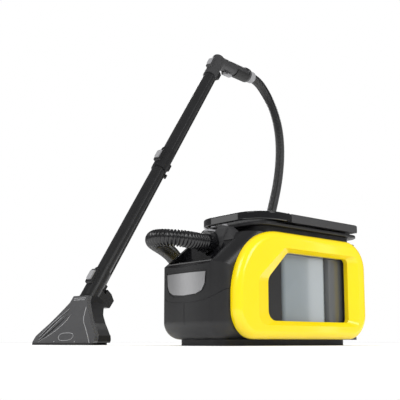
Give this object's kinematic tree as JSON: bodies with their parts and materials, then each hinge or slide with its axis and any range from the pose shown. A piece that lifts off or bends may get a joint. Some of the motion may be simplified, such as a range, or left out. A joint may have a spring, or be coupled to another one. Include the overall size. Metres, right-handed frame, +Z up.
{
  "type": "carpet cleaner machine",
  "caption": "Portable spray-extraction cleaner with lift-out tanks behind windowed side panels, a spool-shaped lid, a corrugated hose and a wand with a fan-shaped floor nozzle.",
  "frame": {"origin": "on the floor, under the middle of the machine's plinth", "axes": "+Z up, -Y towards the hose end, +X towards the right-hand side panel"},
  "size_m": [0.8842, 1.1625, 1.0053],
  "materials": {
    "black_plastic": "fine satin grain",
    "grey_plastic": "satin charcoal",
    "gloss_black": "polished",
    "yellow_plastic": "glossy yellow",
    "silver_plate": "satin silver",
    "tank_clear": "smoked translucent",
    "smoked_clear": "smoked translucent",
    "rubber": "matt",
    "light_grey": "satin",
    "steel": "brushed",
    "board_green": "matt"
  },
  "bodies": {
    "chassis": {"base_tray": "black_plastic", "rubber_feet": "rubber", "front_housing": "grey_plastic", "rear_housing": "black_plastic", "bay_floor": "black_plastic", "tank_bay_rails": "black_plastic", "side_frame_right": "black_plastic", "side_frame_left": "black_plastic", "side_panel_right": "yellow_plastic", "side_panel_left": "yellow_plastic", "front_badge": "silver_plate", "basin_liner": "gloss_black", "socket_housing": "grey_plastic", "hose_socket": "black_plastic", "hose_plug": "gloss_black", "suction_motor": "steel", "motor_mount": "black_plastic", "fan_cover": "black_plastic", "water_pump": "black_plastic", "pump_lines": "rubber", "control_board": "board_green", "mount_screws": "steel", "battery_cradle": "black_plastic", "battery_contacts": "steel", "suction_hose": "rubber", "hose_cuff": "light_grey", "elbow_handle": "grey_plastic", "trigger_pin": "steel", "grip_insert": "rubber", "spray_valve": "black_plastic", "upper_tube": "grey_plastic", "lower_tube": "grey_plastic", "water_line": "rubber", "middle_coupler": "grey_plastic", "lower_coupler": "grey_plastic", "nozzle_housing": "grey_plastic", "nozzle_bracket": "black_plastic", "spray_jet": "black_plastic", "nozzle_window": "smoked_clear", "nozzle_lip": "rubber"},
    "plug_tab": {"plug_release": "light_grey"},
    "power_cap": {"power_button": "light_grey"},
    "spray_cap": {"spray_button": "light_grey"},
    "fan": {"fan_wheel": "light_grey"},
    "battery": {"battery_pack": "black_plastic"},
    "battery_key": {"battery_release": "yellow_plastic"},
    "tank_unit": {"fresh_water_tank": "tank_clear", "dirty_water_tank": "tank_clear", "tank_seals": "rubber", "lid_flange": "black_plastic", "lid_plate": "grey_plastic", "float_cage": "black_plastic"},
    "bail": {"carry_handle": "grey_plastic", "handle_pins": "steel"},
    "cap": {"fill_cap": "yellow_plastic"},
    "float_body": {"float": "yellow_plastic"},
    "trigger_lever": {"trigger": "light_grey"},
    "latch_key_handle": {"latch_handle": "light_grey"},
    "latch_key_middle": {"latch_middle": "light_grey"},
    "latch_key_nozzle": {"latch_nozzle": "light_grey"}
  },
  "joints": [
    {"name": "tank_lift", "type": "slide", "parent": "chassis", "child": "tank_unit", "axis": [0, 0, 1], "range_m": [0, 0.2]},
    {"name": "bail_swing", "type": "hinge", "parent": "tank_unit", "child": "bail", "pos_m": [0, -0.03, 0.2562], "axis": [-1, 0, 0], "range_deg": [0, 90]},
    {"name": "fill_cap_hinge", "type": "hinge", "parent": "tank_unit", "child": "cap", "pos_m": [0, 0, 0.259], "axis": [1, 0, 0], "range_deg": [0, 110]},
    {"name": "float_rise", "type": "slide", "parent": "tank_unit", "child": "float_body", "axis": [0, 0, 1], "range_m": [0, 0.03]},
    {"name": "fan_spin", "type": "hinge", "parent": "chassis", "child": "fan", "pos_m": [-0.034, -0.12, 0.085], "axis": [0, 0, 1], "continuous": true},
    {"name": "battery_slide", "type": "slide", "parent": "chassis", "child": "battery", "axis": [0, 1, 0], "range_m": [0, 0.09]},
    {"name": "battery_key_press", "type": "slide", "parent": "chassis", "child": "battery_key", "axis": [0, -1, 0], "range_m": [0, 0.002], "stiffness_N_per_m": 400, "springref_m": -0.002},
    {"name": "power_press", "type": "slide", "parent": "chassis", "child": "power_cap", "axis": [0, 0, -1], "range_m": [0, 0.002], "stiffness_N_per_m": 400, "springref_m": -0.002},
    {"name": "spray_press", "type": "slide", "parent": "chassis", "child": "spray_cap", "axis": [0, 0, -1], "range_m": [0, 0.002], "stiffness_N_per_m": 400, "springref_m": -0.002},
    {"name": "plug_tab_press", "type": "slide", "parent": "chassis", "child": "plug_tab", "axis": [0, 0, -1], "range_m": [0, 0.002], "stiffness_N_per_m": 400, "springref_m": -0.002},
    {"name": "latch_handle_press", "type": "slide", "parent": "chassis", "child": "latch_key_handle", "axis": [-0.2132, 0.7794, -0.5892], "range_m": [0, 0.003], "stiffness_N_per_m": 500, "springref_m": -0.002},
    {"name": "latch_middle_press", "type": "slide", "parent": "chassis", "child": "latch_key_middle", "axis": [-0.2132, 0.7794, -0.5892], "range_m": [0, 0.003], "stiffness_N_per_m": 500, "springref_m": -0.002},
    {"name": "latch_nozzle_press", "type": "slide", "parent": "chassis", "child": "latch_key_nozzle", "axis": [-0.2132, 0.7794, -0.5892], "range_m": [0, 0.003], "stiffness_N_per_m": 500, "springref_m": -0.002},
    {"name": "trigger_pull", "type": "hinge", "parent": "chassis", "child": "trigger_lever", "pos_m": [-0.66661, 0.51135, 0.93801], "axis": [0.9646, 0.2639, 0], "range_deg": [0, 7], "stiffness_Nm_per_rad": 1.5, "springref_deg": -11.46}
  ]
}
